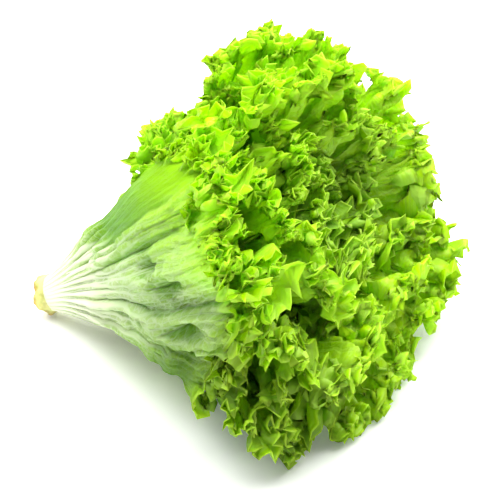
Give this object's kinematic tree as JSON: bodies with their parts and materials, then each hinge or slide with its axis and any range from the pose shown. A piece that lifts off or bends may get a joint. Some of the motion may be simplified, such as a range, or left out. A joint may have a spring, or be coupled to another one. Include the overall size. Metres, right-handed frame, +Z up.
{
  "type": "green leaf lettuce",
  "caption": "Head of green leaf lettuce lying on its side: a short cut stem with broad frilled leaves nested round it, opening into a loose crown.",
  "frame": {"origin": "centre of the bounding box's footprint, at the height of the table", "axes": "+X along the table from the cut stem to the crown of leaves, +Z up from the table"},
  "size_m": [0.2556, 0.2484, 0.207],
  "materials": {
    "stem": "matte, moist",
    "leaf": "satin",
    "heart_leaf": "satin"
  },
  "bodies": {
    "root": {"stem": "stem", "front_leaf": "leaf", "under_leaf": "leaf", "short_top_leaf": "leaf", "low_front_leaf": "leaf", "tall_back_leaf": "leaf", "leaf_06": "leaf", "leaf_07": "leaf", "leaf_08": "leaf", "leaf_09": "leaf", "leaf_10": "leaf", "leaf_11": "leaf", "leaf_12": "leaf", "leaf_13": "leaf", "leaf_14": "leaf", "leaf_15": "leaf", "leaf_16": "leaf", "leaf_17": "leaf", "leaf_18": "leaf", "leaf_19": "leaf", "leaf_20": "leaf", "heart_leaf_21": "heart_leaf", "heart_leaf_22": "heart_leaf", "heart_leaf_23": "heart_leaf", "heart_leaf_24": "heart_leaf", "heart_leaf_25": "heart_leaf", "heart_leaf_26": "heart_leaf"}
  },
  "joints": []
}
